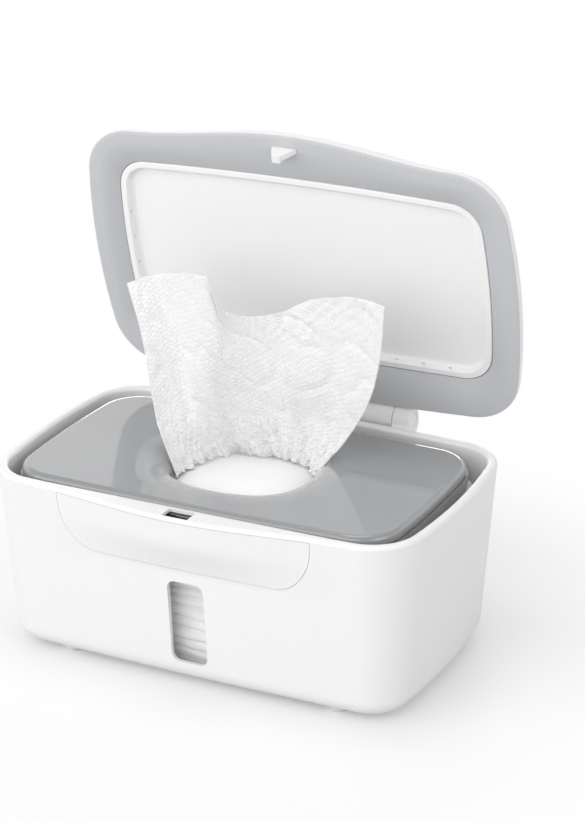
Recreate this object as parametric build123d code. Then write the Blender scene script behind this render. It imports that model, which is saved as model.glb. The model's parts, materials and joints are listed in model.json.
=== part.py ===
from build123d import *
import math
import os

# Wipes dispenser: a tub with a sprung lid, a press latch and a loose weighted plate on the wipes.
# Millimetres, +Z up, the front faces -Y. The origin lies on the floor under the middle of the tub.
# Every part is then moved by frame_shift_y, so that the box round the whole open object is centred.
frame_shift_y = -3.6

# Tub, measured on its rim
half_width = 110.5
front_y = -66.4
rear_y = 67.5
rim_z = 91.0
corner_radius = 26.0
side_turn = 7.5
front_turn = 2.0
rear_turn = 3.4
wall_draft = 4.5
underside_z = 2.5
underside_round = 9.2
rim_thickness = 4.8
cavity_draft = 3.3
cavity_floor_z = 5.0
cavity_round = 6.5
rim_round = 1.8

# Bulge at the top of the front wall, which the lid repeats
bulge = 6.7
bulge_start_z = 58.0
bulge_full_z = 80.0
bulge_steps_z = (58.0, 62.7, 67.4, 72.1, 76.8, 81.5, 86.2, 91.0)

# Window in the front wall and its pane
window_half_width = 9.2
window_low_z = 12.7
window_high_z = 55.0
window_corner = 4.2
pane_margin = 2.0
pane_thickness = 1.3

# Feet
foot_x = 69.5
foot_y = 46.5
foot_radius = 5.5
foot_recess = 0.6

# Press pad and its pocket
pad_top_z = 89.0
pad_bottom_z = 62.0
pad_half = 64.0
pad_side_run = 20.0
pad_side_z = 86.0
pad_gap = 0.2
pad_skin = 1.6
pad_depth = 2.4
pad_flange = 2.0
pocket_half = 68.0
pocket_low_z = 58.0
pocket_high_z = 89.4
tray_front_y = -59.5
tray_thickness = 0.9
tray_roof_low_z = 88.6
tray_roof_front_y = -61.2
tray_margin = 1.6

# Latch slot, catch, strike plate and hook
slot_half = 6.5
slot_front_y = -71.3
slot_rear_y = -63.3
catch_half = 9.6
catch_arm = 4.4
catch_low_z = 84.0
catch_high_z = 88.2
catch_bar_front_y = -64.7
catch_bar_rear_y = -61.2
strike_thickness = 0.6
strike_rear_y = -62.9
hook_front_y = -68.3
hook_rear_y = -65.9
hook_root_half = 6.2
hook_tip_half = 2.0
hook_root_z = 92.4
hook_tip_z = 82.2
hook_barb = 0.9

# Return springs of the pad
pad_spring_x = 36.0
pad_spring_z = 76.0
pad_spring_radius = 2.6
pad_spring_wire = 0.6
pad_spring_turns = 4
pad_spring_front_y = -65.5

# Hinge
hinge_y = 74.2
hinge_z = 92.6
barrel_radius = 6.1
barrel_half = 43.0
knuckle_gap = 0.4
knuckle_end = 52.5
pin_radius = 1.5
pin_running_gap = 0.05
pin_half = 50.4
cap_radius = 3.2
spring_bore = 4.3
spring_start_x = 12.0
spring_radius = 2.9
spring_wire = 0.9
spring_turns = 12
spring_pitch = 2.2
bracket_y = 69.4
open_angle = 77.1

# Lid, described closed and then opened about the hinge
lid_overhang = 1.0
lid_skin = 1.7
lid_edge_z = 92.1
lid_crown_z = 105.0
lid_round = 8.0
crown_radius_x = 1800.0
crown_radius_y = 800.0
seal_inset = -0.7
seal_face_z = 91.2
seal_roll = 2.6
seal_roll_height = 0.8
seal_flat = 5.2
seal_inner_z = 95.6
seal_thickness = 1.8
seal_edge = 2.4

# Inner panel of the lid: its plan, its frame and its recess
liner_half = 96.2
liner_front_y = -50.0
liner_rear_y = 48.0
liner_radius = 16.0
liner_frame = 3.5
liner_face_z = 95.2
liner_floor_z = 98.9
liner_back_z = 100.2
liner_slope = 2.8

# Weighted plate: the cover, the base and the flared opening
plate_x = -2.0
plate_half = 98.0
plate_front_y = -56.0
plate_rear_y = 56.0
plate_radius = 21.0
plate_top_z = 90.0
plate_round = 3.2
cover_low_z = 85.4
cover_skin = 1.8
base_high_z = 84.8
base_low_z = 78.5
base_step = 0.7
opening_x = -1.9
opening_half = 33.0
opening_front_y = -25.0
opening_rear_y = 36.0
opening_radius = 20.5
opening_bow = 16.0
flare_width = 18.0
flare_forward = 3.6
flare_low_z = 81.5
weight_inner_x = 57.0
weight_outer_x = 87.0
weight_half_y = 38.0

# Wipes
stack_half_x = 94.0
stack_half_y = 50.0
stack_top_z = 78.3
stack_crown = 2.6
stack_gap = 0.8
sheet_thickness = 1.6


def tangent_plan(width, front, rear, radius, side=side_turn, fore=front_turn, aft=rear_turn):
    """Rectangle with bowed sides and round corners, eight arcs that all run on tangent to each other."""
    side, fore, aft = (math.radians(angle) for angle in (side, fore, aft))
    centre_x = width - radius
    front_centre = front + radius
    rear_centre = rear - radius
    for _ in range(12):
        half_side = (rear_centre - front_centre) / 2 + radius * math.sin(side)
        centre_x = width - radius * math.cos(side) - half_side * math.tan(side / 2)
        half_front = centre_x + radius * math.sin(fore)
        half_rear = centre_x + radius * math.sin(aft)
        front_centre = front + radius * math.cos(fore) + half_front * math.tan(fore / 2)
        rear_centre = rear - radius * math.cos(aft) - half_rear * math.tan(aft / 2)
    return {
        "width": width, "front": front, "rear": rear, "radius": radius, "side": side, "fore": fore,
        "aft": aft, "centre_x": centre_x, "front_centre": front_centre, "rear_centre": rear_centre,
    }


def plan_wire(plan, inset, z, swell=0.0):
    """The plan's outline moved inwards by inset, at height z, its front middle pushed out by swell."""
    radius = plan["radius"] - inset

    def corner(side_sign, centre_y, angle):
        out = plan["centre_x"] + radius * math.cos(angle)
        return (side_sign * out, centre_y + radius * math.sin(angle), z)

    middle = (plan["front_centre"] + plan["rear_centre"]) / 2
    right = plan["width"] - inset
    front_right = corner(1, plan["front_centre"], plan["fore"] - math.pi / 2)
    right_front = corner(1, plan["front_centre"], -plan["side"])
    right_rear = corner(1, plan["rear_centre"], plan["side"])
    rear_right = corner(1, plan["rear_centre"], math.pi / 2 - plan["aft"])
    mirrored = [(-point[0], point[1], z) for point in (front_right, right_front, right_rear, rear_right)]
    front_left, left_front, left_rear, rear_left = mirrored

    def corner_arc(start, end, side_sign, centre_y, angle):
        return ThreePointArc(start, corner(side_sign, centre_y, angle), end)

    half_front = front_right[0]
    arc_radius = half_front / math.sin(plan["fore"])
    front_points = []
    for step in range(-4, 5):
        x = half_front * step / 4
        bow = arc_radius - math.sqrt(arc_radius**2 - x**2)
        rise = swell * math.cos(math.pi * step / 8) ** 2
        front_points.append((x, plan["front"] + inset + bow - rise, z))
    slope = math.tan(plan["fore"])
    front = Spline(*front_points, tangents=[(1, -slope, 0), (1, slope, 0)])
    return Wire([
        front,
        corner_arc(front_right, right_front, 1, plan["front_centre"], -math.pi / 4),
        ThreePointArc(right_front, (right, middle, z), right_rear),
        corner_arc(right_rear, rear_right, 1, plan["rear_centre"], math.pi / 4),
        ThreePointArc(rear_right, (0, plan["rear"] - inset, z), rear_left),
        corner_arc(rear_left, left_rear, -1, plan["rear_centre"], math.pi / 4),
        ThreePointArc(left_rear, (-right, middle, z), left_front),
        corner_arc(left_front, front_left, -1, plan["front_centre"], -math.pi / 4),
    ])


def plan_block(plan, inset, low, high, swell=0.0):
    """Straight-sided solid on the plan."""
    return Solid.extrude(Face(plan_wire(plan, inset, low, swell)), Vector(0, 0, high - low))


def between(plan, sections, ruled=True):
    """Solid lofted through (inset, height, swell) sections of one plan."""
    wires = [plan_wire(plan, inset, z, swell) for inset, z, swell in sections]
    return Solid.make_loft(wires, ruled)


def front_prism(points, low_y, high_y):
    """Outline drawn on the front, (x, z), and carried from low_y to high_y."""
    outline = Face(Wire.make_polygon([(x, low_y, z) for x, z in points], close=True))
    return Solid.extrude(outline, Vector(0, high_y - low_y, 0))


def box(low, high):
    """Box between two corners."""
    size = [b - a for a, b in zip(low, high)]
    middle = [(a + b) / 2 for a, b in zip(low, high)]
    return Pos(*middle) * Box(*size)


def rod(x_low, x_high, y, z, radius):
    """Round bar along X."""
    return Pos((x_low + x_high) / 2, y, z) * Rot(0, 90, 0) * Cylinder(radius, x_high - x_low)


def single(shape):
    """The one solid of a shape, or all of them together."""
    solids = shape.solids()
    return solids[0] if len(solids) == 1 else Compound(solids)


def biarc_path(points, directions):
    """Smooth path of arcs through points with given directions, two tangent arcs for each step."""
    edges = []
    for start, end, leave, arrive in zip(points, points[1:], directions, directions[1:]):
        reach = end - start
        both = leave + arrive
        spread = 2 * (1 - leave.dot(arrive))
        along = reach.dot(both)
        length = (-along + math.sqrt(along**2 + spread * reach.dot(reach))) / spread
        first = start + leave * length
        last = end - arrive * length
        joint = (first + last) * 0.5
        edges.append(TangentArc(start, joint, tangent=leave))
        edges.append(TangentArc(joint, end, tangent=(last - first).normalized()))
    return Wire(edges)


def coil(start, axis, across, radius, pitch, turns, wire):
    """Coil spring from start along axis, its first point towards across, in half turns."""
    axis = Vector(*axis)
    across = Vector(*across)
    third = axis.cross(across)
    points = []
    directions = []
    for step in range(2 * turns + 1):
        angle = math.pi * step
        out = across * math.cos(angle) + third * math.sin(angle)
        round_it = third * math.cos(angle) - across * math.sin(angle)
        points.append(Vector(*start) + out * radius + axis * (pitch * step / 2))
        directions.append((round_it * (2 * math.pi * radius) + axis * pitch).normalized())
    path = biarc_path(points, directions)
    section = Plane(origin=points[0], z_dir=directions[0]) * Circle(wire / 2)
    print("coil", round(pitch - wire, 2), "mm between turns,", turns, "turns")
    return sweep(section, path=path)


rim_plan = tangent_plan(half_width, front_y, rear_y, corner_radius)
liner_plan = tangent_plan(liner_half, liner_front_y, liner_rear_y, liner_radius, 5.2, 2.7, 1.1)
plate_plan = tangent_plan(plate_half, plate_front_y, plate_rear_y, plate_radius, 4.0, 1.6, 1.6)
opening_plan = tangent_plan(
    opening_half, opening_front_y, opening_rear_y, opening_radius, opening_bow, opening_bow, opening_bow
)


def bulge_at(z):
    """How far the front wall swells out at height z, as a share of the full bulge."""
    share = min(max((z - bulge_start_z) / (bulge_full_z - bulge_start_z), 0), 1)
    return share * share * (3 - 2 * share)


def outer_inset(z):
    return (rim_z - z) * math.tan(math.radians(wall_draft))


def cavity_inset(z):
    return rim_thickness + (rim_z - z) * math.tan(math.radians(cavity_draft))


def rounded_foot(plan, inset_at, low, radius, top, extra=0.0):
    """Drafted body with a rounded bottom edge, from low up to top."""
    steps = [math.radians(angle) for angle in (0, 22, 45, 67, 90)]
    bottom = []
    for angle in steps:
        z = low + radius * (1 - math.cos(angle))
        bottom.append((inset_at(low + radius) + radius * (1 - math.sin(angle)) + extra, z, 0.0))
    wall = [bottom[-1], (inset_at(top) + extra, top, 0.0)]
    return between(plan, bottom, ruled=False) + between(plan, wall)


def bulged_wall(extra=0.0):
    """The upper part of the tub, where the front wall swells out."""
    sections = [(outer_inset(z) + extra, z, bulge * bulge_at(z)) for z in bulge_steps_z]
    return between(rim_plan, sections, ruled=False)


def tub_outside(extra=0.0):
    lower = rounded_foot(rim_plan, outer_inset, underside_z, underside_round, bulge_start_z, extra)
    return lower + bulged_wall(extra)


def tub_inside(extra=0.0):
    return rounded_foot(rim_plan, cavity_inset, cavity_floor_z, cavity_round, rim_z + 1.0, extra)


def pad_prism(margin, top, low_y, high_y):
    """The press pad's outline as a block: its upright sides run down into the bottom along two curves."""
    half = pad_half + margin
    low = pad_bottom_z - margin
    turn_x = pad_half - pad_side_run
    bend = math.sqrt(0.5)

    def side_point(sign, share_x, share_z):
        x = turn_x + (half - turn_x) * share_x
        return (sign * x, low_y, pad_side_z - (pad_side_z - low) * share_z)

    def side_curve(sign):
        points = [side_point(sign, 1, 0), side_point(sign, bend, bend), side_point(sign, 0, 1)]
        return Spline(*points, tangents=[(0, 0, -1), (-sign, 0, 0)])

    upright = [side_point(-1, 1, 0), (-half, low_y, top), (half, low_y, top), side_point(1, 1, 0)]
    bottom = Line(side_point(1, 0, 1), side_point(-1, 0, 1))
    outline = Wire([side_curve(1), bottom, side_curve(-1), *Polyline(*upright).edges()])
    return Solid.extrude(Face(outline), Vector(0, high_y - low_y, 0))


def window_prism(margin, low_y, high_y):
    width = 2 * (window_half_width + margin)
    height = window_high_z - window_low_z + 2 * margin
    middle = (window_high_z + window_low_z) / 2
    place = Plane(origin=(0, low_y, middle), x_dir=(1, 0, 0), z_dir=(0, 1, 0))
    return extrude(place * RectangleRounded(width, height, window_corner + margin), amount=high_y - low_y)


def foot_places():
    for side_name, x in (("left", -foot_x), ("right", foot_x)):
        for end_name, y in (("front", -foot_y), ("rear", foot_y)):
            yield "foot_" + end_name + "_" + side_name, x, y


def hinge_bore(radius, x_low, x_high):
    return rod(x_low, x_high, hinge_y, hinge_z, radius)


def screw_places():
    """Where the four bracket screws go through the rear wall, (x, z)."""
    return [(x, 80.0) for x in (-34.0, -12.0, 12.0, 34.0)]


def rear_screw(x, z, head_y, tip_y, radius=1.4, head=2.8):
    """Screw along -Y with its round head at head_y."""
    shank = Pos(x, (head_y + tip_y) / 2, z) * Rot(90, 0, 0) * Cylinder(radius, head_y - tip_y)
    cap = Pos(x, head_y + 0.8, z) * Rot(90, 0, 0) * Cylinder(head, 1.6)
    slot = box((x - 1.8, head_y + 1.0, z - 0.35), (x + 1.8, head_y + 2.0, z + 0.35))
    cross = box((x - 0.35, head_y + 1.0, z - 1.8), (x + 0.35, head_y + 2.0, z + 1.8))
    return shank + cap - slot - cross


def make_tub_shell():
    shell = tub_outside() - tub_inside()
    rim_edges = shell.edges().filter_by_position(Axis.Z, rim_z - 0.01, rim_z + 0.01)
    shell = single(shell.fillet(rim_round, rim_edges))
    shell -= window_prism(0, -80, -50)
    shell -= window_prism(pane_margin, -80, -50) & tub_inside(-pane_thickness)
    pocket = box((-pocket_half, -80, pocket_low_z), (pocket_half, -50, pocket_high_z))
    shell -= pocket & bulged_wall(pad_skin)
    shell -= pad_prism(pad_gap, pad_top_z + pad_gap, -85, -50)
    shell -= box((-slot_half, slot_front_y, pocket_high_z - 0.5), (slot_half, slot_rear_y, rim_z + 1))
    for _, x, y in foot_places():
        shell -= Pos(x, y, underside_z) * Cylinder(foot_radius + 0.05, 2 * foot_recess)
    for x, z in screw_places():
        shell -= Pos(x, 65, z) * Rot(90, 0, 0) * Cylinder(1.4, 12)
    for x, z in housing_screw_places():
        shell -= Pos(x, -59.5, z) * Rot(90, 0, 0) * Cylinder(0.9, 3.4)
    return single(shell)


def make_window_lens():
    block = window_prism(pane_margin - 0.1, -80, -50) & tub_inside(-pane_thickness)
    return single(block - tub_inside(0))


def make_foot(x, y):
    height = underside_z + foot_recess
    foot = Pos(x, y, height / 2) * Cylinder(foot_radius, height)
    low_edge = foot.edges().group_by(Axis.Z)[0]
    return fillet(low_edge, 0.7)


def housing_screw_places():
    """Where the four tray screws go, beside the latch pocket, (x, z)."""
    return [(side * (pocket_half + 3.2), z) for side in (-1, 1) for z in (64.0, 84.0)]


def make_latch_housing():
    half = pocket_half + 6.4
    low = pocket_low_z - tray_margin
    high = pocket_high_z - 0.05
    tray = box((-half, -64, low), (half, tray_front_y + tray_thickness, high)) & tub_inside(0.02)
    tray -= box((-pocket_half, -65, pocket_low_z), (pocket_half, tray_front_y, high + 1))
    roof = box((-pocket_half, tray_roof_front_y, tray_roof_low_z), (pocket_half, tray_front_y, high))
    tray += roof
    for x, z in housing_screw_places():
        tray -= Pos(x, tray_front_y, z) * Rot(90, 0, 0) * Cylinder(1.0, 8)
    for x in (-pad_spring_x, pad_spring_x):
        tray += Pos(x, tray_front_y - 0.5, pad_spring_z) * Rot(90, 0, 0) * Cylinder(1.9, 1.0)
    return single(tray)


def make_housing_screws():
    screws = []
    for x, z in housing_screw_places():
        head_y = tray_front_y + tray_thickness
        screws.append(rear_screw(x, z, head_y, -60.8, radius=0.9, head=1.7))
    return Compound(screws)


def make_button_pad():
    behind = bulged_wall(pad_depth)
    skin = (pad_prism(0, pad_top_z, -85, -55) & bulged_wall(0)) - behind
    flange = (pad_prism(pad_flange, pad_top_z, -85, -55) & bulged_wall(pad_skin + 0.15)) - behind
    pad = skin + flange
    for x in (-pad_spring_x, pad_spring_x):
        pad += Pos(x, pad_spring_front_y - 0.4, pad_spring_z) * Rot(90, 0, 0) * Cylinder(1.9, 2.4)
    return single(pad)


def make_latch_catch(pad):
    catch = box((-catch_half, -71.0, catch_low_z), (catch_half, catch_bar_rear_y, catch_high_z))
    gap_half = catch_half - catch_arm
    catch -= box((-gap_half, -75, catch_low_z - 1), (gap_half, catch_bar_front_y, catch_high_z + 1))
    return single(catch - pad)


def make_strike_plate():
    top = catch_high_z + strike_thickness
    return box((-8.6, catch_bar_front_y + 0.1, catch_high_z), (8.6, strike_rear_y, top))


def make_pad_spring(x):
    pitch = (tray_front_y - pad_spring_front_y - pad_spring_wire) / pad_spring_turns
    start = (x, pad_spring_front_y + pad_spring_wire / 2, pad_spring_z)
    return coil(start, (0, 1, 0), (0, 0, 1), pad_spring_radius, pitch, pad_spring_turns, pad_spring_wire)


def ear_block(low, high):
    """The neck that carries an end knuckle, from the rear wall up and out to the axis."""
    side_view = [
        (63.0, 77.0), (bracket_y, 77.0), (hinge_y + barrel_radius - 0.3, hinge_z - 3.0), (hinge_y, hinge_z),
        (hinge_y - barrel_radius + 0.2, hinge_z), (hinge_y - barrel_radius + 0.2, rim_z), (63.0, 88.0),
    ]
    outline = Face(Wire.make_polygon([(low, y, z) for y, z in side_view], close=True))
    return Solid.extrude(outline, Vector(high - low, 0, 0))


def make_hinge_bracket(tub):
    plate = box((-knuckle_end, 63, 76), (knuckle_end, bracket_y, 84.5))
    bracket = fillet(plate.edges().filter_by(Axis.Y), 3.0)
    for side in (-1, 1):
        low, high = sorted((side * (barrel_half + knuckle_gap), side * knuckle_end))
        knuckle = hinge_bore(barrel_radius, low, high)
        end = knuckle.edges().filter_by_position(Axis.X, side * knuckle_end - 0.1, side * knuckle_end + 0.1)
        bracket += fillet(end, 1.2)
        bracket += ear_block(low, high)
    bracket -= hinge_bore(pin_radius, -60, 60)
    for side in (-1, 1):
        low, high = sorted((side * (pin_half + 0.1), side * 60))
        bracket -= hinge_bore(cap_radius, low, high)
    for x, z in screw_places():
        bracket -= Pos(x, 68, z) * Rot(90, 0, 0) * Cylinder(1.45, 16)
    return single(bracket - tub)


def make_hinge_screws():
    return Compound([rear_screw(x, z, bracket_y, 61.0) for x, z in screw_places()])


def make_hinge_cap(side):
    low, high = sorted((side * (pin_half + 0.1), side * knuckle_end))
    cap = hinge_bore(cap_radius - 0.02, low, high)
    outer = cap.edges().filter_by_position(Axis.X, side * knuckle_end - 0.1, side * knuckle_end + 0.1)
    return fillet(outer, 0.5)


def make_hinge_spring():
    start = (spring_start_x, hinge_y, hinge_z)
    return coil(start, (1, 0, 0), (0, 0, 1), spring_radius, spring_pitch, spring_turns, spring_wire)


def make_lid_hinge_barrel():
    barrel = hinge_bore(barrel_radius, -barrel_half, barrel_half)
    web = box((-barrel_half, 66.0, 93.4), (barrel_half, hinge_y, hinge_z + 5.2))
    barrel = barrel + (web - lid_outside())
    barrel -= hinge_bore(pin_radius + pin_running_gap, -60, 60)
    spring_end_x = spring_start_x + spring_turns * spring_pitch
    barrel -= hinge_bore(spring_bore, spring_start_x - 1.5, spring_end_x + 1.5)
    return single(barrel)


def crown_body(top_z):
    """Everything under the lid's gently crowned top, curved along X and along Y."""
    reach_y = 95.0
    edge_z = top_z - crown_radius_y + math.sqrt(crown_radius_y**2 - reach_y**2)
    low_z = top_z - 60
    arc = ThreePointArc((0, -reach_y, edge_z), (0, 0, top_z), (0, reach_y, edge_z))
    sides = Polyline((0, reach_y, edge_z), (0, reach_y, low_z), (0, -reach_y, low_z), (0, -reach_y, edge_z))
    face = Face(Wire([arc, *sides.edges()]))
    axis = Axis((0, 0, top_z - crown_radius_x), (0, 1, 0))
    sector = 9.0
    return revolve(face.rotate(axis, -sector / 2), axis, sector)


def lid_body(inset, low, top_z, edge_round):
    block = plan_block(rim_plan, inset, low, top_z + 10, bulge) & crown_body(top_z)
    top_edges = block.edges().filter_by_position(Axis.Z, low + 2, top_z + 5)
    return block.fillet(edge_round, top_edges)


def lid_outside():
    return lid_body(-lid_overhang, lid_edge_z, lid_crown_z, lid_round)


def make_lid_shell():
    inside = lid_body(lid_skin - lid_overhang, lid_edge_z - 1, lid_crown_z - lid_skin, lid_round - lid_skin)
    shell = lid_outside() - inside
    under_crown = crown_body(lid_crown_z - lid_skin / 2)
    post_height = lid_crown_z - liner_back_z
    for x in (-70, 0, 70):
        for y in (-32, 32):
            shell += Pos(x, y, liner_back_z + post_height / 2) * Cylinder(2.6, post_height) & under_crown
    shell -= hinge_bore(barrel_radius, -barrel_half - 0.05, barrel_half + 0.05)
    for side in (-1, 1):
        low, high = sorted((side * barrel_half, side * (knuckle_end + knuckle_gap)))
        shell -= hinge_bore(barrel_radius + knuckle_gap, low, high)
    return single(shell)


def plan_between(share):
    """Plan part of the way from the seal's flat rim to the inner panel."""
    rim = (half_width, front_y, rear_y, corner_radius)
    outer = [value + step * seal_flat for value, step in zip(rim, (-1, 1, -1, -1))]
    inner = [liner_half, liner_front_y, liner_rear_y, liner_radius]
    turns = [math.degrees(liner_plan[name]) for name in ("side", "fore", "aft")]
    outer += [side_turn, front_turn, rear_turn]
    inner += turns
    return tangent_plan(*(a + (b - a) * share for a, b in zip(outer, inner)))


def seal_mouth(raised):
    """The space that the seal's face slopes up round, gently at first and steeper towards the panel."""
    wires = []
    for share in (0.0, 0.15, 0.35, 0.6, 0.8, 1.0):
        z = seal_face_z + raised - 0.01 + (seal_inner_z - seal_face_z) * share**1.7
        wires.append(plan_wire(plan_between(share), 0, z, bulge * (1 - share) ** 1.2))
    return Solid.make_loft(wires, False)


def seal_region(raised, edge):
    """All that lies above the seal's visible face, moved up by raised, its outer edge inset by edge."""
    face_z = seal_face_z + raised
    rolled_edge = []
    for angle in (0, 22, 45, 67, 90):
        turn = math.radians(angle)
        inset = edge + seal_roll * (1 - math.sin(turn))
        rolled_edge.append((inset, face_z + seal_roll_height * (1 - math.cos(turn)), bulge))
    body = between(rim_plan, rolled_edge)
    body += plan_block(rim_plan, edge, face_z + seal_roll_height, 101, bulge)
    body -= seal_mouth(raised)
    return body - plan_block(liner_plan, 0, seal_inner_z + raised - 0.02, 110)


def make_lid_seal(hook_hole):
    skin = seal_region(0, seal_inset) - seal_region(seal_thickness, seal_inset + seal_edge)
    lip_inset = lid_skin - lid_overhang + 0.05
    for inset, low in ((lip_inset, lid_edge_z - 0.05), (4.4, seal_face_z + 2.6)):
        skin -= plan_block(rim_plan, -5, low, 110, bulge) - plan_block(rim_plan, inset, 90, 111, bulge)
    skin -= plan_block(rim_plan, -5, seal_inner_z + seal_thickness + 1.4, 120, bulge)
    return single(skin - hook_hole)


def make_lid_liner():
    under_lid = crown_body(lid_crown_z - lid_skin - 0.3)
    block = plan_block(liner_plan, 0.35, liner_face_z, liner_back_z) & under_lid
    depth = liner_floor_z - liner_face_z
    wall = ((0.0, -0.01), (0.4, 0.7), (0.65, 0.92), (1.0, 1.0))
    recess = between(liner_plan, [
        (liner_frame + liner_slope * run, liner_face_z + depth * drop, 0) for run, drop in wall
    ])
    liner = block - recess
    pocket = plan_block(liner_plan, 1.8, 98.0, 105) - plan_block(liner_plan, liner_frame + 1.2, 90, 110)
    liner -= pocket
    face_edges = liner.edges().filter_by_position(Axis.Z, liner_face_z - 0.01, liner_face_z + 0.01)
    liner = single(liner).fillet(0.6, face_edges)
    wall_x = -(liner_half - liner_frame - 0.8)
    slots = [(wall_x, -32.2 + 14.2 * step, 0.6, 0.9) for step in range(5)]
    wall_y = liner_rear_y - liner_frame - 0.8
    slots += [(x, wall_y, 0.9, 0.6) for x in (44, 58, 72)]
    for x, y, half_x, half_y in slots:
        low_corner = (x - half_x, y - half_y, liner_face_z + 1.3)
        liner -= box(low_corner, (x + half_x, y + half_y, liner_face_z + 2.4))
    return single(liner)


def hook_blade(margin):
    """Tapered blade of the hook, or with a margin the hole that it goes through."""
    root_z = hook_root_z + 4.0
    slope = (hook_root_half - hook_tip_half) / (rim_z - hook_tip_z)
    root = hook_root_half + slope * (root_z - rim_z) * 0.3 + margin
    outline = [
        (-root, root_z), (-hook_root_half - margin, rim_z), (-hook_tip_half - margin, hook_tip_z),
        (hook_tip_half + margin, hook_tip_z), (hook_root_half + margin, rim_z), (root, root_z),
    ]
    return front_prism(outline, hook_front_y - margin, hook_rear_y + margin)


def make_latch_hook():
    barb_low = (-hook_tip_half, hook_rear_y - 0.1, hook_tip_z)
    barb = box(barb_low, (hook_tip_half, hook_rear_y + hook_barb, hook_tip_z + 1.4))
    foot = box((-9, hook_front_y - 1.2, 94.2), (9, hook_rear_y + 1.6, 96.4))
    return single(hook_blade(0) + barb + foot)


def opened(shape):
    """A piece of the lid, drawn closed, turned up to where the lid stands open."""
    return shape.rotate(Axis((0, hinge_y, hinge_z), (1, 0, 0)), -open_angle)


def oval(extra, z):
    """Outline of the plate's opening, wider by extra."""
    return plan_wire(opening_plan, -extra, z).moved(Location((opening_x, 0, 0)))


def flare(shrink, low):
    """The flared opening as a solid, drawn in by shrink, straight from low up to where it widens."""
    depth = plate_top_z - flare_low_z
    wires = []
    for angle in (0, 15, 30, 45, 60, 75, 90):
        turn = math.radians(angle)
        share = 1 - math.cos(turn)
        outline = oval(flare_width * share - shrink, flare_low_z + depth * math.sin(turn))
        wires.append(outline.moved(Location((0, -flare_forward * share, 0))))
    throat = Solid.make_loft([oval(-shrink, low), wires[0]], True)
    return throat + Solid.make_loft(wires, False)


def plate_body(inset, low, high, edge_round):
    block = plan_block(plate_plan, inset, low, high)
    if edge_round:
        block = block.fillet(edge_round, block.edges().filter_by_position(Axis.Z, high - 0.01, high + 0.01))
    return block


def make_plate_cover():
    top = plate_body(0, cover_low_z, plate_top_z, plate_round)
    inside = plate_body(cover_skin, cover_low_z - 1, plate_top_z - cover_skin, plate_round - cover_skin)
    lip = flare(-cover_skin, flare_low_z - 2).moved(Location((0, 0, -cover_skin)))
    lip &= box((-80, -50, flare_low_z), (80, 54, plate_top_z))
    cover = (top - inside) + lip - flare(0, flare_low_z - 5)
    return single(Pos(plate_x, 0, 0) * cover)


def make_plate_base():
    block = plate_body(-base_step, base_low_z, base_high_z, 0)
    tray = plate_body(1.9, base_low_z + cover_skin, base_high_z + 1, 0)
    collar_height = flare_low_z - 0.25 - base_low_z
    collar = Solid.extrude(Face(oval(cover_skin, base_low_z)), Vector(0, 0, collar_height))
    base = (block - tray) + collar - Solid.extrude(Face(oval(0, base_low_z - 1)), Vector(0, 0, 10))
    for x, y in plate_screw_places():
        base += Pos(x, y, (base_low_z + 83.6) / 2) * Cylinder(3.2, 83.6 - base_low_z)
    for x, y in plate_screw_places():
        base -= Pos(x, y, 82) * Cylinder(1.25, 12)
        base -= Pos(x, y, base_low_z) * Cylinder(2.5, 3.0)
    base = Pos(plate_x, 0, 0) * base
    return single(base)


def plate_screw_places():
    return [(x, y) for x in (-52.0, 52.0) for y in (-44.0, 44.0)]


def make_plate_screws():
    screws = []
    for x, y in plate_screw_places():
        shank = Pos(x, y, 82) * Cylinder(1.25, 5.0)
        head = Pos(x, y, base_low_z + 0.9) * Cylinder(2.4, 1.2)
        neck = Pos(x, y, base_low_z + 1.2) * Cylinder(1.25, 1.8)
        slot = Pos(x, y, base_low_z + 0.3) * Box(3.6, 0.6, 0.8)
        screws.append(Pos(plate_x, 0, 0) * (shank + neck + head - slot))
    return Compound(screws)


def make_plate_weight(side):
    low_x, high_x = sorted((side * weight_inner_x, side * weight_outer_x))
    floor_z = base_low_z + cover_skin
    bar = box((low_x, -weight_half_y, floor_z), (high_x, weight_half_y, floor_z + 4.4))
    bar = fillet(bar.edges().filter_by(Axis.Z), 3.0)
    return Pos(plate_x, 0, 0) * bar


def make_wipe_stack():
    height = stack_top_z - cavity_floor_z
    middle = (stack_top_z + cavity_floor_z) / 2
    stack = Pos(0, 0, middle) * Box(2 * stack_half_x, 2 * stack_half_y, height)
    stack = fillet(stack.edges().filter_by(Axis.Z), 5.0)
    wires = []
    for inset, share in ((0.0, -0.1), (2.0, 0.35), (7.0, 0.75), (15.0, 1.0)):
        outline = oval(-stack_gap - inset, stack_top_z + stack_crown * share)
        wires.append(outline.moved(Location((plate_x, 0, 0))))
    return single(stack + Solid.make_loft(wires, False))


def sheet_wire(z, points):
    """Closed band along a row of points, one sheet and its folds thick."""
    front = []
    back = []
    before = [points[0], *points[:-1]]
    after = [*points[1:], points[-1]]
    for (x, y), (x0, y0), (x1, y1) in zip(points, before, after):
        length = math.hypot(x1 - x0, y1 - y0)
        off_x = (y1 - y0) / length * sheet_thickness
        off_y = (x1 - x0) / length * sheet_thickness
        front.append(Vector(x + off_x, y - off_y, z))
        back.insert(0, Vector(x - off_x, y + off_y, z))
    return Wire([Spline(*front), Line(front[-1], back[0]), Spline(*back), Line(back[-1], front[0])])


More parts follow.
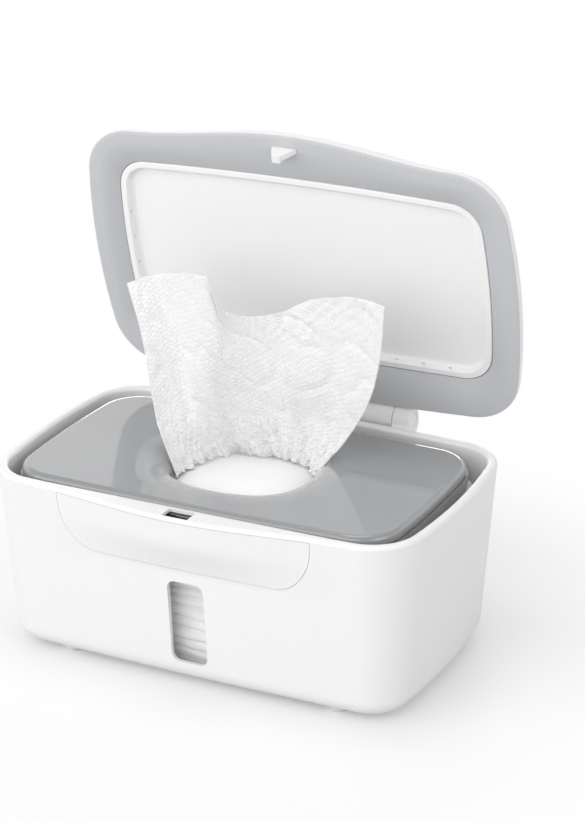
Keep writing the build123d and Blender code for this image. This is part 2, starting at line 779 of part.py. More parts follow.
def make_pulled_wipe():
    """The wipe that stands in the opening: gathered below, spread above, with its main folds."""
    rows = [
        (82.0, [(-30, -10), (-32, 3), (-29.5, 16), (-22, 26), (-9, 31.5), (5, 31.5), (16, 27.5), (22, 20)]),
        (100.0, [(-42.5, -6), (-37, 7), (-27, 10), (-17, 17), (-4, 20), (10, 22), (25, 21), (38.5, 16)]),
        (125.0, [(-53, 0), (-42, 8), (-29, 6), (-16, 12), (2, 15), (20, 17), (38, 16), (53, 12)]),
        (150.0, [(-60.5, 4), (-46, 9), (-29, 4), (-14, 10), (6, 13), (26, 15), (46, 13), (62, 10)]),
        (178.0, [(-68, 6), (-48, 8), (-28, 1), (-12, 8), (10, 12), (32, 13), (50, 11), (66, 8)]),
    ]
    sheet = Solid.make_loft([sheet_wire(z, points) for z, points in rows], False)
    above = [
        (-90, 162), (-61.3, 168), (-24.3, 172.6), (-12, 158.4), (15.9, 165.3), (37.7, 173.3), (58.3, 175.4),
        (65.2, 173.4), (90, 168), (90, 190), (-90, 190),
    ]
    return single(sheet - front_prism(above, -30, 50))


def build_parts():
    parts = {}
    parts["tub_shell"] = make_tub_shell()
    parts["window_lens"] = make_window_lens()
    for name, x, y in foot_places():
        parts[name] = make_foot(x, y)
    parts["latch_housing"] = make_latch_housing()
    parts["housing_screws"] = make_housing_screws()
    parts["button_pad"] = make_button_pad()
    parts["latch_catch"] = make_latch_catch(parts["button_pad"])
    parts["strike_plate"] = make_strike_plate()
    parts["button_spring_left"] = make_pad_spring(-pad_spring_x)
    parts["button_spring_right"] = make_pad_spring(pad_spring_x)

    parts["hinge_bracket"] = make_hinge_bracket(parts["tub_shell"])
    parts["hinge_screws"] = make_hinge_screws()
    parts["hinge_pin"] = hinge_bore(pin_radius, -pin_half, pin_half)
    parts["hinge_cap_left"] = make_hinge_cap(-1)
    parts["hinge_cap_right"] = make_hinge_cap(1)
    parts["hinge_spring"] = make_hinge_spring()

    lid = {
        "lid_shell": make_lid_shell(),
        "lid_seal": make_lid_seal(hook_blade(0.15)),
        "lid_liner": make_lid_liner(),
        "latch_hook": make_latch_hook(),
        "lid_hinge_barrel": make_lid_hinge_barrel(),
    }
    for name, shape in lid.items():
        parts[name] = opened(shape)

    parts["plate_cover"] = make_plate_cover()
    parts["plate_base"] = make_plate_base()
    parts["plate_weight_left"] = make_plate_weight(-1)
    parts["plate_weight_right"] = make_plate_weight(1)
    parts["plate_screws"] = make_plate_screws()
    parts["wipe_stack"] = make_wipe_stack()
    parts["pulled_wipe"] = make_pulled_wipe()
    return {name: shape.moved(Location((0, frame_shift_y, 0))) for name, shape in parts.items()}


os.makedirs("parts", exist_ok=True)
for part_name, part_shape in build_parts().items():
    part_shape.label = part_name
    export_step(part_shape, "parts/" + part_name + ".step")
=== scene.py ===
import json
import math

import bpy
import numpy as np
from mathutils import Matrix, Vector, noise


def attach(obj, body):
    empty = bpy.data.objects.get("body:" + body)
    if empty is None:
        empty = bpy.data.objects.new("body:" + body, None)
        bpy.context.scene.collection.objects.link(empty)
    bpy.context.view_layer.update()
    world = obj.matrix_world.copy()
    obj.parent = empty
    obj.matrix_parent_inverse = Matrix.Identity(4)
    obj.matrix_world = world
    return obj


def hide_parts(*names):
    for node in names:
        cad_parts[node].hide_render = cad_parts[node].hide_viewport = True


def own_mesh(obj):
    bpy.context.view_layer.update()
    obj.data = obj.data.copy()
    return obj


# Looks of the wipes dispenser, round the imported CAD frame. Metres, +Z up, the front faces -Y.

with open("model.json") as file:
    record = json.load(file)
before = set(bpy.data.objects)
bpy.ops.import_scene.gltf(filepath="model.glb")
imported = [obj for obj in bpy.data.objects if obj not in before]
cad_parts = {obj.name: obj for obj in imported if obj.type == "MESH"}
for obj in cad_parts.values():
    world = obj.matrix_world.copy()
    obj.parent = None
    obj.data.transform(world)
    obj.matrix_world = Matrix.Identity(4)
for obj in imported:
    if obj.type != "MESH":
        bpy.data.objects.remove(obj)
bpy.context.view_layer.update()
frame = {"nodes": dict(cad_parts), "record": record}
nodes = frame["nodes"]

# Camera, fitted to the photograph's outline
camera_place = (0.4954, -0.9522, 0.5525)
camera_right = (0.89686, 0.44223, -0.00816)
camera_up = (-0.16046, 0.34252, 0.92571)
camera_lens_mm = 109.25

# Finishes, as linear colours
white_colour = (0.87, 0.87, 0.865)
# Painted light: the lid's inner panel is the same white plastic, given a brighter colour to stand in for
# the light it lacks
painted_bright_panel_colour = (0.93, 0.93, 0.925)
seal_colour = (0.56, 0.57, 0.59)
plate_colour = (0.315, 0.32, 0.328)
wipe_colour = (0.96, 0.96, 0.96)
foot_colour = (0.78, 0.78, 0.77)
steel_colour = (0.62, 0.62, 0.63)
black_colour = (0.012, 0.012, 0.013)

# Studio light: what the world gives, how dark its roof is in reflections and where it starts
world_level = 0.62
world_roof = 0.30
roof_start = 0.42
roof_full = 0.60

# Studio floor: the light it throws back, and where its shadow starts to run out into plain white
floor_bounce = 0.60
fade_start = 0.11
fade_full = 0.27
fade_least = 0.25

# Lamps: place, aim, width, height and power
lamps = {
    "key": ((-0.6, -1.5, 0.9), (0, 0, 0.12), 3.0, 1.6, 23.5),
    "fill": ((1.5, -0.4, 0.8), (0, 0, 0.10), 1.0, 0.8, 4.5),
    "strip": ((-0.62, 1.40, 0.36), (0, 0, 0.09), 0.8, 0.22, 3.0),
    "overhead": ((-0.1, 0.1, 1.5), (0, 0, 0.08), 0.8, 0.5, 3.0),
}

# Wipes: control rows from the stack up to the free edge, in millimetres from the middle of the tub.
# Each row runs from the left edge, round behind the opening, to the right edge.
tub_centre_y = -0.0036
sheet_rows = [
    [(-32.5, -11, 80), (-34, -2.5, 80), (-33.5, 6, 80), (-31, 14, 80), (-26.5, 21, 80),
     (-20, 26.5, 80), (-12, 29.5, 80), (-4, 31, 80), (4, 31, 80), (11.5, 30, 80),
     (17.5, 27.5, 80), (22.5, 24, 80), (26, 19.5, 80)],
    [(-38, -8, 90), (-38, 0, 90), (-35.5, 7.5, 90), (-31.5, 12.5, 90), (-26.5, 17, 90),
     (-20.5, 21, 90), (-13, 24.5, 90), (-4.5, 27, 90), (5, 27.5, 90), (14, 26.5, 90),
     (22, 24.5, 90), (28, 21.5, 90), (33.5, 18, 90)],
    [(-45, -4, 103.5), (-42, 3.5, 104), (-37, 8, 104), (-31, 8, 104), (-25, 10.5, 104),
     (-18.5, 15, 104), (-11, 18, 104), (-1.5, 20.5, 104), (9, 22, 104), (19.5, 22, 104),
     (29, 20.5, 104), (37, 18, 104), (43.6, 15.5, 103)],
    [(-52.3, 1.5, 124), (-47, 7, 124), (-40, 9.5, 124), (-32.5, 5.5, 124), (-25.5, 5, 124.5),
     (-18.5, 9, 124.5), (-10.5, 12.5, 124), (0, 14.5, 123.5), (12, 16.5, 123.5), (24.5, 17, 124),
     (36.5, 16.5, 124.5), (47.5, 14, 124.5), (56.4, 12, 125)],
    [(-58, 4, 146.5), (-51.5, 8.5, 147), (-43, 9.5, 148), (-34, 5.5, 149), (-26, 2, 150.5),
     (-18.5, 4, 150), (-11.5, 9, 146), (0, 12.5, 144), (13, 14.5, 145), (27, 15, 147),
     (40.5, 14, 147.5), (52.5, 12.5, 147.5), (62.6, 10.5, 147)],
    [(-65.2, 6, 167), (-57.5, 8.5, 170), (-48, 9, 173), (-37, 6, 176), (-27, 1.5, 178),
     (-18.5, -2, 177.5), (-15, 4, 163), (-5, 10.5, 158.5), (10, 13, 161), (26, 13, 169.5),
     (42, 12, 174), (55, 10.5, 175.5), (66, 9, 174)],
]
sheet_columns = 260
sheet_steps = 210
sheet_thickness = 0.0005
sheet_edge = 0.04
sheet_edge_calm = 0.35
pleat_crowding = 1.3

# Folds of the pulled wipe: how far up they reach, how deep they are and how far apart
root_reach = 0.012
fold_reach = 0.040
root_pleat = 0.0030
root_pleat_pitch = 0.0045
root_pleat_rise = 0.018
long_pleat = 0.0052
long_pleat_pitch = 0.0095
long_pleat_rise = 0.050
broad_fold = 0.0030
broad_fold_pitch = 0.021
crease_pitch = 0.012
crease_width = 0.25
crease_depth = 0.0036
crinkle_pitch = (0.0024, 0.0034)
fine_crinkle = 0.00015
root_crinkle = 0.0018
free_edge_wave = 0.0006
free_edge_pitch = 0.009

# Heights on the wipe between which its crumpled root fades out
crumple_full = 0.008
crumple_end = 0.034

# The folded wipes: half widths, heights, the folds at their sides and the opening they swell into
stack_half = (0.0940, 0.0500)
stack_corner = 0.005
stack_low_z = 0.005
stack_high_z = 0.0781
stack_folds = 14
stack_crown = 0.0026
crown_wrinkle = 0.0004
crown_rim_sink = 0.0006
fold_depth = 0.0030
fold_wander = 0.55
fold_lean = 0.0012
fold_line = 0.00021
fold_sink = 0.0008
flat_below = 0.006
flat_fade_low = 0.014
flat_fade_high = 0.006
hole_centre = (-0.0039, 0.0019)
hole_half = (0.0322, 0.0297)
hole_power = 2.8


def new_material(name):
    """Empty node material with its main shader."""
    material = bpy.data.materials.new(name)
    material.use_nodes = True
    shader = material.node_tree.nodes["Principled BSDF"]
    return material, material.node_tree, shader


def object_noise(tree, scale, detail=3.0, rough=0.5):
    """Noise fixed to the object's own coordinates."""
    place = tree.nodes.new("ShaderNodeTexCoord")
    texture = tree.nodes.new("ShaderNodeTexNoise")
    texture.inputs["Scale"].default_value = scale
    texture.inputs["Detail"].default_value = detail
    texture.inputs["Roughness"].default_value = rough
    tree.links.new(place.outputs["Object"], texture.inputs["Vector"])
    return texture.outputs["Fac"]


def spread(tree, value, low, high):
    """Value from 0 to 1 spread over low to high."""
    node = tree.nodes.new("ShaderNodeMapRange")
    node.inputs["To Min"].default_value = low
    node.inputs["To Max"].default_value = high
    tree.links.new(value, node.inputs["Value"])
    return node.outputs["Result"]


def bump(tree, height, shader, strength, distance):
    node = tree.nodes.new("ShaderNodeBump")
    node.inputs["Strength"].default_value = strength
    node.inputs["Distance"].default_value = distance
    tree.links.new(height, node.inputs["Height"])
    tree.links.new(node.outputs["Normal"], shader.inputs["Normal"])
    return node


def tint(tree, value, dark, light):
    """Colour between dark and light."""
    mix = tree.nodes.new("ShaderNodeMix")
    mix.data_type = "RGBA"
    mix.inputs["A"].default_value = (*dark, 1)
    mix.inputs["B"].default_value = (*light, 1)
    tree.links.new(value, mix.inputs["Factor"])
    return mix.outputs["Result"]


def moulded(name, colour, rough_low, rough_high, grain=0.00002, coat=0.0):
    """Moulded plastic: a faint orange peel, fine grain in its gloss and a slight change of tone."""
    material, tree, shader = new_material(name)
    tone = object_noise(tree, 9.0, 2.0)
    dark = tuple(c * 0.985 for c in colour)
    tree.links.new(tint(tree, tone, dark, colour), shader.inputs["Base Color"])
    gloss = spread(tree, object_noise(tree, 700.0, 4.0), rough_low, rough_high)
    tree.links.new(gloss, shader.inputs["Roughness"])
    bump(tree, object_noise(tree, 260.0, 2.0), shader, 0.35, grain)
    shader.inputs["IOR"].default_value = 1.5
    shader.inputs["Coat Weight"].default_value = coat
    shader.inputs["Coat Roughness"].default_value = 0.03
    return material


def seal_material():
    """Soft silicone: matt, with a fine moulded grain."""
    material, tree, shader = new_material("grey_silicone")
    tone = object_noise(tree, 14.0, 3.0)
    dark = tuple(c * 0.97 for c in seal_colour)
    tree.links.new(tint(tree, tone, dark, seal_colour), shader.inputs["Base Color"])
    tree.links.new(spread(tree, object_noise(tree, 900.0, 3.0), 0.5, 0.62), shader.inputs["Roughness"])
    bump(tree, object_noise(tree, 1400.0, 2.0), shader, 0.3, 0.00002)
    shader.inputs["IOR"].default_value = 1.42
    shader.inputs["Sheen Weight"].default_value = 0.08
    return material


def pane_material():
    """Clear plastic pane: nearly all light goes through, a faint haze and the gloss stay."""
    material, tree, shader = new_material("clear_pane")
    haze = object_noise(tree, 120.0, 4.0)
    tree.links.new(tint(tree, haze, (0.86, 0.87, 0.88), (0.93, 0.94, 0.95)), shader.inputs["Base Color"])
    tree.links.new(spread(tree, haze, 0.02, 0.04), shader.inputs["Alpha"])
    tree.links.new(spread(tree, haze, 0.03, 0.08), shader.inputs["Roughness"])
    shader.inputs["IOR"].default_value = 1.5
    return material


def steel_material():
    """Drawn steel with fine lines along it."""
    material, tree, shader = new_material("bright_steel")
    place = tree.nodes.new("ShaderNodeTexCoord")
    stretch = tree.nodes.new("ShaderNodeMapping")
    stretch.inputs["Scale"].default_value = (60.0, 2400.0, 2400.0)
    lines = tree.nodes.new("ShaderNodeTexNoise")
    lines.inputs["Scale"].default_value = 1.0
    lines.inputs["Detail"].default_value = 2.0
    tree.links.new(place.outputs["Object"], stretch.inputs["Vector"])
    tree.links.new(stretch.outputs["Vector"], lines.inputs["Vector"])
    shader.inputs["Base Color"].default_value = (*steel_colour, 1)
    shader.inputs["Metallic"].default_value = 1.0
    tree.links.new(spread(tree, lines.outputs["Fac"], 0.18, 0.34), shader.inputs["Roughness"])
    bump(tree, lines.outputs["Fac"], shader, 0.2, 0.00001)
    return material


def foot_material():
    """Soft, slightly cloudy rubber."""
    material, tree, shader = new_material("soft_foot")
    dark = tuple(c * 0.96 for c in foot_colour)
    cloud = tint(tree, object_noise(tree, 180.0, 3.0), dark, foot_colour)
    tree.links.new(cloud, shader.inputs["Base Color"])
    tree.links.new(spread(tree, object_noise(tree, 900.0, 3.0), 0.45, 0.6), shader.inputs["Roughness"])
    bump(tree, object_noise(tree, 1500.0, 2.0), shader, 0.25, 0.00002)
    shader.inputs["Subsurface Weight"].default_value = 0.15
    shader.inputs["Subsurface Radius"].default_value = (0.002, 0.002, 0.002)
    shader.inputs["Subsurface Scale"].default_value = 1.0
    return material


def sum_of(tree, values):
    total = values[0]
    for value in values[1:]:
        node = tree.nodes.new("ShaderNodeMath")
        node.operation = "ADD"
        tree.links.new(total, node.inputs[0])
        tree.links.new(value, node.inputs[1])
        total = node.outputs["Value"]
    return total


def wave_along(tree, place, direction, pitch):
    """Cosine of the distance along a direction of the cloth."""
    along = tree.nodes.new("ShaderNodeVectorMath")
    along.operation = "DOT_PRODUCT"
    along.inputs[1].default_value = (direction[0], direction[1], 0)
    tree.links.new(place, along.inputs[0])
    turns = tree.nodes.new("ShaderNodeMath")
    turns.operation = "MULTIPLY"
    turns.inputs[1].default_value = 2 * math.pi / pitch
    tree.links.new(along.outputs["Value"], turns.inputs[0])
    wave = tree.nodes.new("ShaderNodeMath")
    wave.operation = "COSINE"
    tree.links.new(turns.outputs["Value"], wave.inputs[0])
    return wave.outputs["Value"]


def wipe_material(name, pitch, emboss, fuzz, crumple, painted_valley_shade):
    """Embossed nonwoven: staggered pillows, loose fibres over them, crumpled near its root.

    The pitch of the pillows and the height of the embossing are in metres. Fuzz and crumple are shares
    of that height, and the valley share is how much of the colour stays between the pillows, painted
    shade in the valleys.
    """
    material, tree, shader = new_material(name)
    cloth = tree.nodes.new("ShaderNodeUVMap")
    drift = tree.nodes.new("ShaderNodeTexNoise")
    drift.inputs["Scale"].default_value = 90.0
    drift.inputs["Detail"].default_value = 2.0
    tree.links.new(cloth.outputs["UV"], drift.inputs["Vector"])
    scale = tree.nodes.new("ShaderNodeVectorMath")
    scale.operation = "SCALE"
    scale.inputs["Scale"].default_value = pitch * 1.6
    tree.links.new(drift.outputs["Color"], scale.inputs[0])
    place = tree.nodes.new("ShaderNodeVectorMath")
    tree.links.new(cloth.outputs["UV"], place.inputs[0])
    tree.links.new(scale.outputs["Vector"], place.inputs[1])
    row = pitch * math.sin(math.radians(60))
    waves = []
    for angle in (0, 60, 120):
        direction = (math.cos(math.radians(angle)), math.sin(math.radians(angle)))
        waves.append(wave_along(tree, place.outputs["Vector"], direction, row))
    pillow = tree.nodes.new("ShaderNodeMapRange")
    pillow.interpolation_type = "SMOOTHSTEP"
    pillow.inputs["From Min"].default_value = -1.5
    pillow.inputs["From Max"].default_value = 2.2
    tree.links.new(sum_of(tree, waves), pillow.inputs["Value"])
    fibres = object_noise(tree, 1400.0, 5.0, 0.75)
    height = tree.nodes.new("ShaderNodeMath")
    height.operation = "MULTIPLY_ADD"
    height.inputs[1].default_value = fuzz
    tree.links.new(fibres, height.inputs[0])
    tree.links.new(pillow.outputs["Result"], height.inputs[2])
    split = tree.nodes.new("ShaderNodeSeparateXYZ")
    tree.links.new(cloth.outputs["UV"], split.inputs["Vector"])
    root = tree.nodes.new("ShaderNodeMapRange")
    root.interpolation_type = "SMOOTHSTEP"
    root.inputs["From Min"].default_value = crumple_end
    root.inputs["From Max"].default_value = crumple_full
    root.inputs["To Max"].default_value = crumple
    tree.links.new(split.outputs["Y"], root.inputs["Value"])
    creases = object_noise(tree, 400.0, 2.0, 0.6)
    crumpled = tree.nodes.new("ShaderNodeMath")
    crumpled.operation = "MULTIPLY_ADD"
    tree.links.new(creases, crumpled.inputs[0])
    tree.links.new(root.outputs["Result"], crumpled.inputs[1])
    tree.links.new(height.outputs["Value"], crumpled.inputs[2])
    bump(tree, crumpled.outputs["Value"], shader, 1.0, emboss)
    # Painted shade: the colour darkens between the embossed pillows, standing in for shade in their
    # valleys
    dark = tuple(c * painted_valley_shade for c in wipe_colour)
    tree.links.new(tint(tree, pillow.outputs["Result"], dark, wipe_colour), shader.inputs["Base Color"])
    tree.links.new(spread(tree, fibres, 0.7, 0.9), shader.inputs["Roughness"])
    shader.inputs["Sheen Weight"].default_value = 0.1
    shader.inputs["Subsurface Weight"].default_value = 0.25
    shader.inputs["Subsurface Radius"].default_value = (0.003, 0.003, 0.003)
    shader.inputs["Subsurface Scale"].default_value = 1.0
    return material


materials = {
    "white_plastic": moulded("white_plastic", white_colour, 0.30, 0.38),
    "grey_plastic": moulded("grey_plastic", plate_colour, 0.10, 0.14, grain=0.000004, coat=1.0),
    "grey_seal": seal_material(),
    "clear_plastic": pane_material(),
    "soft_foot": foot_material(),
    "black_plastic": moulded("black_plastic", black_colour, 0.25, 0.4),
    "steel": steel_material(),
    # painted light: the lid's inner panel white, brighter than the plastic's own colour
    "white_panel_painted_bright": moulded("white_panel_painted_bright", painted_bright_panel_colour, 0.32, 0.40),
    "wipe_cloth": wipe_material(
        "embossed_wipe", pitch=0.0023, emboss=0.00028, fuzz=0.6, crumple=7.0, painted_valley_shade=0.95
    ),
    "folded_wipes": wipe_material(
        "smooth_wipe", pitch=0.0023, emboss=0.00001, fuzz=1.0, crumple=0.0, painted_valley_shade=0.985
    ),
}


def dress_nodes():
    """Every CAD node takes the finish of its material slot; the lid's inner panel gets its white plastic
    painted brighter, to stand in for the light it lacks.
    """
    for entry in frame["record"]["subparts"]:
        mesh = nodes[entry["node"]].data
        finish = "white_panel_painted_bright" if entry["node"] == "lid_liner" else entry["material_slot"]
        mesh.materials.clear()
        mesh.materials.append(materials[finish])


def through(points, share):
    """Catmull-Rom curve through rows of points, share from 0 to 1."""
    points = np.asarray(points, float)
    place = share * (len(points) - 1)
    step = min(int(place), len(points) - 2)
    t = place - step
    before = points[max(step - 1, 0)]
    start = points[step]
    end = points[step + 1]
    after = points[min(step + 2, len(points) - 1)]
    if step == 0:
        before = 2 * start - end
    if step == len(points) - 2:
        after = 2 * end - start
    return 0.5 * (
        2 * start + (end - before) * t + (2 * before - 5 * start + 4 * end - after) * t**2
        + (3 * start - before - 3 * end + after) * t**3
    )


def ripple(x, y, z, seed):
    return noise.noise(Vector((x, y, z + 31.7 * seed)))


def gather(along, up):
    """Height of the small pleats, deep where the wipe is squeezed into the opening and soft above."""
    deep = math.exp(-max(up, 0.0) / root_reach)
    middle = math.exp(-max(up, 0.0) / fold_reach)
    pleats = ripple(along / root_pleat_pitch, up / root_pleat_rise, 0.0, 1) * root_pleat * deep
    slanted = along / long_pleat_pitch + 0.6 * up / 0.04
    pleats += ripple(slanted, up / long_pleat_rise, 0.0, 2) * long_pleat * middle
    pleats += ripple(along / broad_fold_pitch, up / long_pleat_rise, 0.0, 3) * broad_fold
    creases = abs(ripple(along / crease_pitch + up / 0.03, up / 0.016, 0.0, 4))
    pleats -= (crease_width - min(creases, crease_width)) * crease_depth
    crinkle = ripple(along / crinkle_pitch[0], up / crinkle_pitch[1], 0.0, 5)
    return pleats + crinkle * (fine_crinkle + root_crinkle * deep)


def mesh_object(name, verts, faces, uvs=None):
    mesh = bpy.data.meshes.new(name)
    mesh.from_pydata(verts, [], faces)
    if uvs is not None:
        layer = mesh.uv_layers.new(name="cloth")
        for loop in mesh.loops:
            layer.data[loop.index].uv = uvs[loop.vertex_index]
    for polygon in mesh.polygons:
        polygon.use_smooth = True
    piece = bpy.data.objects.new(name, mesh)
    bpy.context.scene.collection.objects.link(piece)
    return piece


def grid_faces(columns, rows, closed=False):
    """Faces of a grid of columns by rows points, stored row by row."""
    faces = []
    for row in range(rows - 1):
        for column in range(columns if closed else columns - 1):
            after = (column + 1) % columns
            low = row * columns
            faces.append((low + column, low + after, low + columns + after, low + columns + column))
    return faces


def make_pulled_wipe():
    """The wipe that stands up out of the opening, one sheet with its folds, pleats and free edge."""
    grid = np.zeros((sheet_steps, sheet_columns, 3))
    for row in range(sheet_steps):
        up = row / (sheet_steps - 1)
        line = [through(points, up) for points in zip(*sheet_rows)]
        for column in range(sheet_columns):
            grid[row, column] = through(line, column / (sheet_columns - 1))
    grid /= 1000.0
    grid[:, :, 1] += tub_centre_y
    across = np.gradient(grid, axis=1)
    along = np.cumsum(np.linalg.norm(across, axis=2), axis=1)
    rise = np.cumsum(np.linalg.norm(np.gradient(grid, axis=0), axis=2), axis=0)
    outward = np.stack([across[:, :, 1], -across[:, :, 0]], axis=2)
    outward /= np.linalg.norm(outward, axis=2)[:, :, None]
    verts = []
    uvs = []
    for row in range(sheet_steps):
        for column in range(sheet_columns):
            edge = min(column, sheet_columns - 1 - column) / (sheet_edge * sheet_columns)
            height = gather(along[0, column] * pleat_crowding, rise[row, column])
            height *= min(sheet_edge_calm + (1 - sheet_edge_calm) * edge, 1.0)
            x, y, z = grid[row, column]
            x += outward[row, column, 0] * height
            y += outward[row, column, 1] * height
            wave = ripple(along[row, column] / free_edge_pitch, 0.0, 0.0, 6)
            z += free_edge_wave * wave * row / sheet_steps
            verts.append((x, y, z))
            uvs.append((along[row, column], rise[row, column]))
    wipe = mesh_object("pulled_wipe_sheet", verts, grid_faces(sheet_columns, sheet_steps), uvs)
    thick = wipe.modifiers.new("cloth", "SOLIDIFY")
    thick.thickness = sheet_thickness
    thick.offset = 0.0
    wipe.data.materials.append(materials["wipe_cloth"])
    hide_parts("pulled_wipe")
    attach(wipe, "weight_plate")
    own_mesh(wipe)
    return wipe


def stack_outline(distance, out):
    """Point on the stack's rounded outline, distance along it, moved out."""
    half_x, half_y = stack_half
    straight_x = half_x - stack_corner
    straight_y = half_y - stack_corner
    quarter = math.pi * stack_corner / 2
    spans = [2 * straight_y, quarter, 2 * straight_x, quarter] * 2
    corners = [
        (straight_x, -straight_y, 0), (straight_x, straight_y, 0),
        (straight_x, straight_y, 90), (-straight_x, straight_y, 90),
        (-straight_x, straight_y, 180), (-straight_x, -straight_y, 180),
        (-straight_x, -straight_y, 270), (straight_x, -straight_y, 270),
    ]
    for index, span in enumerate(spans):
        if distance <= span or index == 7:
            break
        distance -= span
    share = min(distance / span, 1.0)
    x, y, turn = corners[index]
    if index % 2 == 0:
        end_x, end_y, _ = corners[index + 1]
        x += (end_x - x) * share
        y += (end_y - y) * share
    else:
        turn += 90 * share
    angle = math.radians(turn)
    reach = stack_corner + out
    return x + reach * math.cos(angle), y + reach * math.sin(angle)


def fold_profile(height, distance):
    """How far the side of the stack stands out, folds rounded and drawn in between."""
    pitch = (stack_high_z - stack_low_z) / stack_folds
    place = (height - stack_low_z) / pitch
    place += fold_wander * ripple(distance / 0.035, height / 0.012, 0.0, 11)
    share = place - math.floor(place)
    layer = math.floor(place)
    round_fold = math.sqrt(max(1 - (2 * share - 1) ** 2, 0.0))
    lean = ripple(distance / 0.030, layer * 3.1, 0.0, 12)
    line = abs(math.sin(math.pi * place * 2.0 + 2 * lean))
    low_room = min(max((height - flat_below) / flat_fade_low, 0.0), 1.0)
    high_room = min(max((stack_high_z - height) / flat_fade_high, 0.0), 1.0)
    depth = fold_depth * round_fold + fold_lean * lean + fold_line * line
    return depth * low_room * (0.3 + 0.7 * high_room) - fold_sink


def crown_height(x, y):
    """Height of the top wipe where it swells up into the opening, with its soft wrinkles."""
    across = abs((x - hole_centre[0]) / hole_half[0]) ** hole_power
    reach = (across + abs((y - hole_centre[1]) / hole_half[1]) ** hole_power) ** (1 / hole_power)
    swell = max(1 - reach**3, 0.0)
    wrinkle = ripple(x / 0.022 + y / 0.03, y / 0.012, 0.0, 21) * crown_wrinkle * min(swell * 3, 1.0)
    return stack_high_z + stack_crown * swell + wrinkle


def make_folded_wipes():
    """The stack: folded edges all round, and the top wipe swelling into the opening."""
    length = 4 * (stack_half[0] + stack_half[1] - 2 * stack_corner) + 2 * math.pi * stack_corner
    columns = 420
    rows = 170
    verts = []
    for row in range(rows):
        z = stack_low_z + (stack_high_z - stack_low_z) * row / (rows - 1)
        for column in range(columns):
            distance = length * column / columns
            x, y = stack_outline(distance, fold_profile(z, distance))
            verts.append((x, y + tub_centre_y, z))
    faces = grid_faces(columns, rows, closed=True)
    faces.append(tuple(range(columns))[::-1])
    faces.append(tuple(range((rows - 1) * columns, rows * columns)))
    rings = 50
    spokes = 160
    base = len(verts)
    bend = 2 / hole_power
    for ring in range(rings):
        share = 1.0 - ring / rings
        rim_sink = crown_rim_sink if ring == 0 else 0.0
        for spoke in range(spokes):
            angle = 2 * math.pi * spoke / spokes
            c = math.cos(angle)
            s = math.sin(angle)
            x = hole_centre[0] + hole_half[0] * share * math.copysign(abs(c) ** bend, c)
            y = hole_centre[1] + hole_half[1] * share * math.copysign(abs(s) ** bend, s)
            verts.append((x, y, crown_height(x, y) - rim_sink))
    faces += [tuple(base + index for index in face) for face in grid_faces(spokes, rings, closed=True)]
    last = base + (rings - 1) * spokes
    faces.append(tuple(range(last, last + spokes)))
    uvs = [(vert[0], vert[1] + vert[2]) for vert in verts]
    stack = mesh_object("folded_wipes", verts, faces, uvs)
    stack.data.materials.append(materials["folded_wipes"])
    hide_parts("wipe_stack")
    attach(stack, "tub")
    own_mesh(stack)
    return stack


def make_pad_springs():
    """The pad's return springs: a copy of each coil, carried by the tub."""
    for side in ("left", "right"):
        node = "button_spring_" + side
        coil = bpy.data.objects.new("pad_spring_" + side, nodes[node].data.copy())
        bpy.context.scene.collection.objects.link(coil)
        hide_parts(node)
        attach(coil, "tub")
        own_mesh(coil)


def make_camera():
    data = bpy.data.cameras.new("camera")
    data.lens = camera_lens_mm
    data.sensor_width = 36.0
    data.sensor_fit = "AUTO"
    camera = bpy.data.objects.new("camera", data)
    bpy.context.scene.collection.objects.link(camera)
    right = Vector(camera_right)
    up = Vector(camera_up)
    back = right.cross(up)
    turn = Matrix((right, up, back)).transposed()
    camera.matrix_world = Matrix.Translation(camera_place) @ turn.to_4x4()
    bpy.context.scene.camera = camera


def area_light(name, place, target, width, height, power):
    data = bpy.data.lights.new(name, "AREA")
    data.shape = "RECTANGLE"
    data.size = width
    data.size_y = height
    data.energy = power
    light = bpy.data.objects.new(name, data)
    light.location = place
    aim = Vector(target) - Vector(place)
    light.rotation_euler = aim.to_track_quat("-Z", "Y").to_euler()
    bpy.context.scene.collection.objects.link(light)
    return light


def greater(tree, first, second):
    node = tree.nodes.new("ShaderNodeMath")
    node.operation = "MAXIMUM"
    tree.links.new(first, node.inputs[0])
    tree.links.new(second, node.inputs[1])
    return node.outputs["Value"]


def looked_at(tree):
    """1 where the camera, a reflection or a clear part looks at the studio, 0 where it gives light."""
    rays = tree.nodes.new("ShaderNodeLightPath")
    straight = greater(tree, rays.outputs["Is Camera Ray"], rays.outputs["Is Transmission Ray"])
    return greater(tree, straight, rays.outputs["Is Glossy Ray"])


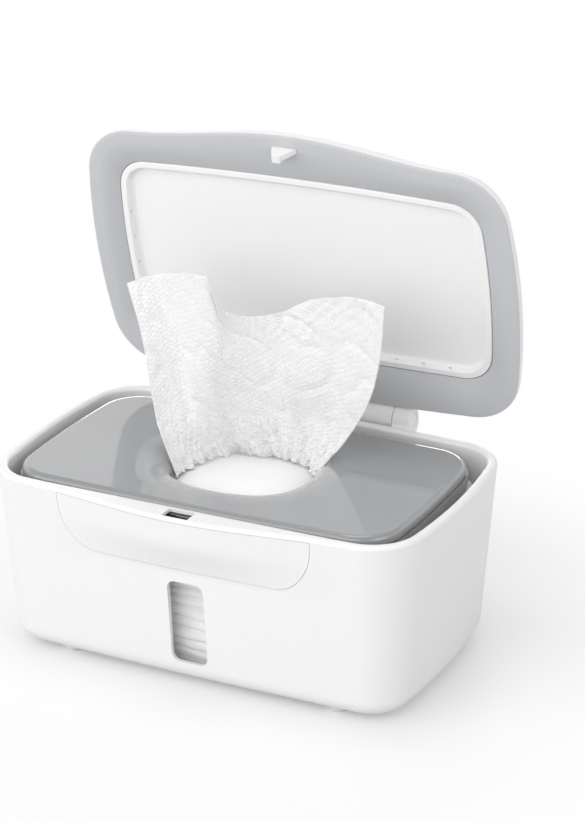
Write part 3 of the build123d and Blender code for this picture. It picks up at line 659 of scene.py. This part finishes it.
def make_world():
    """Plain white to the camera, a softer level as light, and white with a darker roof in gloss."""
    world = bpy.data.worlds.new("studio")
    world.use_nodes = True
    tree = world.node_tree
    back = tree.nodes["Background"]
    rays = tree.nodes.new("ShaderNodeLightPath")
    place = tree.nodes.new("ShaderNodeTexCoord")
    split = tree.nodes.new("ShaderNodeSeparateXYZ")
    tree.links.new(place.outputs["Generated"], split.inputs["Vector"])
    roof = tree.nodes.new("ShaderNodeMapRange")
    roof.interpolation_type = "SMOOTHSTEP"
    roof.inputs["From Min"].default_value = roof_start
    roof.inputs["From Max"].default_value = roof_full
    roof.inputs["To Min"].default_value = 1.0
    roof.inputs["To Max"].default_value = world_roof
    tree.links.new(split.outputs["Z"], roof.inputs["Value"])
    gloss = tree.nodes.new("ShaderNodeMath")
    gloss.operation = "MULTIPLY"
    tree.links.new(roof.outputs["Result"], gloss.inputs[0])
    tree.links.new(rays.outputs["Is Glossy Ray"], gloss.inputs[1])
    straight = greater(tree, rays.outputs["Is Camera Ray"], rays.outputs["Is Transmission Ray"])
    light = spread(tree, looked_at(tree), world_level, 0.0)
    back.inputs["Color"].default_value = (1, 1, 1, 1)
    strength = greater(tree, greater(tree, straight, gloss.outputs["Value"]), light)
    tree.links.new(strength, back.inputs["Strength"])
    bpy.context.scene.world = world


def floor_material():
    """White studio floor: it keeps the shadow near the object and runs out into plain white."""
    material, tree, shader = new_material("studio_floor")
    seen = looked_at(tree)
    tree.links.new(tint(tree, seen, (floor_bounce,) * 3, (0.90,) * 3), shader.inputs["Base Color"])
    shader.inputs["Roughness"].default_value = 0.6
    place = tree.nodes.new("ShaderNodeTexCoord")
    reach = tree.nodes.new("ShaderNodeVectorMath")
    reach.operation = "LENGTH"
    tree.links.new(place.outputs["Object"], reach.inputs[0])
    fade = tree.nodes.new("ShaderNodeMapRange")
    fade.interpolation_type = "SMOOTHSTEP"
    fade.inputs["From Min"].default_value = fade_start
    fade.inputs["From Max"].default_value = fade_full
    fade.inputs["To Min"].default_value = fade_least
    tree.links.new(reach.outputs["Value"], fade.inputs["Value"])
    share = tree.nodes.new("ShaderNodeMath")
    share.operation = "MULTIPLY"
    tree.links.new(fade.outputs["Result"], share.inputs[0])
    tree.links.new(seen, share.inputs[1])
    glow = tree.nodes.new("ShaderNodeEmission")
    mix = tree.nodes.new("ShaderNodeMixShader")
    tree.links.new(share.outputs["Value"], mix.inputs["Fac"])
    tree.links.new(shader.outputs["BSDF"], mix.inputs[1])
    tree.links.new(glow.outputs["Emission"], mix.inputs[2])
    tree.links.new(mix.outputs["Shader"], tree.nodes["Material Output"].inputs["Surface"])
    return material


def make_floor():
    mesh = bpy.data.meshes.new("floor")
    reach = 6.0
    corners = [(-reach, -reach, 0), (reach, -reach, 0), (reach, reach, 0), (-reach, reach, 0)]
    mesh.from_pydata(corners, [], [(0, 1, 2, 3)])
    floor = bpy.data.objects.new("floor", mesh)
    bpy.context.scene.collection.objects.link(floor)
    mesh.materials.append(floor_material())
    return floor


dress_nodes()
make_pulled_wipe()
make_folded_wipes()
make_pad_springs()
make_camera()
make_world()
make_floor()
for lamp, (place, target, width, height, power) in lamps.items():
    area_light(lamp, place, target, width, height, power)

bpy.context.scene.view_settings.view_transform = "Standard"
